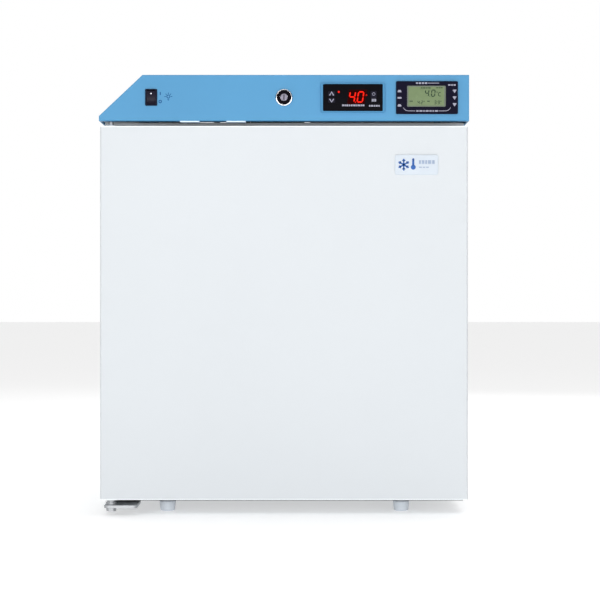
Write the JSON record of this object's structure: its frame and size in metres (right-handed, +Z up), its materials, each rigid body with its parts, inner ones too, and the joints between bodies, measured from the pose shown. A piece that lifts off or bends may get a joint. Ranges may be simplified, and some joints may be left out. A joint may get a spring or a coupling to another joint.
{
  "type": "cooled laboratory incubator",
  "caption": "Small upright cooled incubator with a front door, a blue control panel on top, a lock, a temperature controller and a data logger.",
  "frame": {"origin": "centre of the footprint, on the surface that the feet stand on", "axes": "+Z up, -Y towards the front (door and control panel), +X to the right seen from the front"},
  "size_m": [0.463, 0.49, 0.552],
  "materials": {
    "outer_shell": "satin",
    "base_pan": "satin",
    "base_rail": "matte",
    "back_panel": "satin",
    "inner_liner": "satin",
    "insulation": "matte",
    "rear_feet": "matte",
    "front_left_foot": "satin",
    "front_right_foot": "satin",
    "machine_screws": "satin",
    "upper_hinge_plate": "satin",
    "lower_hinge_bracket": "satin",
    "lower_hinge_pin": "satin",
    "control_housing": "satin",
    "housing_back_panel": "satin",
    "housing_clips": "satin",
    "switch_bezel": "satin",
    "light_rocker": "satin",
    "lock_barrel": "polished",
    "lock_nut": "satin",
    "lock_core": "satin",
    "lock_cam": "satin",
    "controller_case": "satin",
    "controller_window": "gloss",
    "key_up": "matte",
    "key_down": "matte",
    "key_set": "matte",
    "logger_case": "satin",
    "logger_window": "gloss",
    "control_board": "satin",
    "wiring_loom": "satin",
    "mains_inlet": "satin",
    "shelf_upper": "satin",
    "shelf_lower": "satin",
    "light_lens": "satin",
    "air_duct_cover": "satin",
    "fan_frame": "satin",
    "fan_rotor": "satin",
    "evaporator_coil": "satin",
    "heater_element": "satin",
    "temperature_probe": "satin",
    "drain_tube": "satin",
    "drip_tray": "satin",
    "compressor": "gloss",
    "compressor_grommets": "matte",
    "start_relay": "satin",
    "condenser_coil": "satin",
    "condenser_standoffs": "satin",
    "rear_bumpers": "matte",
    "filter_drier": "satin",
    "refrigerant_tubes": "satin",
    "door_skin": "satin",
    "door_grip": "satin",
    "door_end_caps": "satin",
    "door_bushes": "satin",
    "door_insulation": "matte",
    "door_liner": "satin",
    "door_gasket": "matte",
    "lock_keep": "satin",
    "door_badge": "satin"
  },
  "bodies": {
    "cabinet": {"outer_shell": "outer_shell", "base_pan": "base_pan", "base_rail": "base_rail", "back_panel": "back_panel", "inner_liner": "inner_liner", "insulation": "insulation", "rear_feet": "rear_feet", "machine_screws": "machine_screws", "upper_hinge_plate": "upper_hinge_plate", "lower_hinge_bracket": "lower_hinge_bracket", "lower_hinge_pin": "lower_hinge_pin", "control_housing": "control_housing", "housing_back_panel": "housing_back_panel", "housing_clips": "housing_clips", "switch_bezel": "switch_bezel", "lock_barrel": "lock_barrel", "lock_nut": "lock_nut", "controller_case": "controller_case", "controller_window": "controller_window", "logger_case": "logger_case", "logger_window": "logger_window", "control_board": "control_board", "wiring_loom": "wiring_loom", "mains_inlet": "mains_inlet", "shelf_upper": "shelf_upper", "shelf_lower": "shelf_lower", "light_lens": "light_lens", "air_duct_cover": "air_duct_cover", "fan_frame": "fan_frame", "evaporator_coil": "evaporator_coil", "heater_element": "heater_element", "temperature_probe": "temperature_probe", "drain_tube": "drain_tube", "drip_tray": "drip_tray", "compressor": "compressor", "compressor_grommets": "compressor_grommets", "start_relay": "start_relay", "condenser_coil": "condenser_coil", "condenser_standoffs": "condenser_standoffs", "rear_bumpers": "rear_bumpers", "filter_drier": "filter_drier", "refrigerant_tubes": "refrigerant_tubes"},
    "front_left_foot": {"front_left_foot": "front_left_foot"},
    "front_right_foot": {"front_right_foot": "front_right_foot"},
    "light_rocker": {"light_rocker": "light_rocker"},
    "lock": {"lock_core": "lock_core", "lock_cam": "lock_cam"},
    "fan_rotor": {"fan_rotor": "fan_rotor"},
    "key_up": {"key_up": "key_up"},
    "key_down": {"key_down": "key_down"},
    "key_set": {"key_set": "key_set"},
    "door": {"door_skin": "door_skin", "door_grip": "door_grip", "door_end_caps": "door_end_caps", "door_bushes": "door_bushes", "door_insulation": "door_insulation", "door_liner": "door_liner", "door_gasket": "door_gasket", "lock_keep": "lock_keep", "door_badge": "door_badge"}
  },
  "joints": [
    {"name": "door_hinge", "type": "hinge", "parent": "cabinet", "child": "door", "pos_m": [-0.218, -0.22, 0.254], "axis": [0, 0, -1], "range_deg": [0, 112]},
    {"name": "lock_turn", "type": "hinge", "parent": "cabinet", "child": "lock", "pos_m": [0, -0.23, 0.5235], "axis": [0, -1, 0], "range_deg": [0, 90]},
    {"name": "light_switch", "type": "hinge", "parent": "cabinet", "child": "light_rocker", "pos_m": [-0.166, -0.2395, 0.5237], "axis": [-1, 0, 0], "range_deg": [0, 16]},
    {"name": "key_up_press", "type": "slide", "parent": "cabinet", "child": "key_up", "axis": [0, 1, 0], "range_m": [0, 0.0007], "stiffness_N_per_m": 900, "springref_m": -0.0003},
    {"name": "key_down_press", "type": "slide", "parent": "cabinet", "child": "key_down", "axis": [0, 1, 0], "range_m": [0, 0.0007], "stiffness_N_per_m": 900, "springref_m": -0.0003},
    {"name": "key_set_press", "type": "slide", "parent": "cabinet", "child": "key_set", "axis": [0, 1, 0], "range_m": [0, 0.0007], "stiffness_N_per_m": 900, "springref_m": -0.0003},
    {"name": "left_foot_turn", "type": "hinge", "parent": "cabinet", "child": "front_left_foot", "pos_m": [-0.15, -0.174, 0.01], "axis": [0, 0, 1], "continuous": true},
    {"name": "right_foot_turn", "type": "hinge", "parent": "cabinet", "child": "front_right_foot", "pos_m": [0.15, -0.174, 0.01], "axis": [0, 0, 1], "continuous": true},
    {"name": "fan_spin", "type": "hinge", "parent": "cabinet", "child": "fan_rotor", "pos_m": [0, 0.146, 0.385], "axis": [0, -1, 0], "continuous": true}
  ]
}
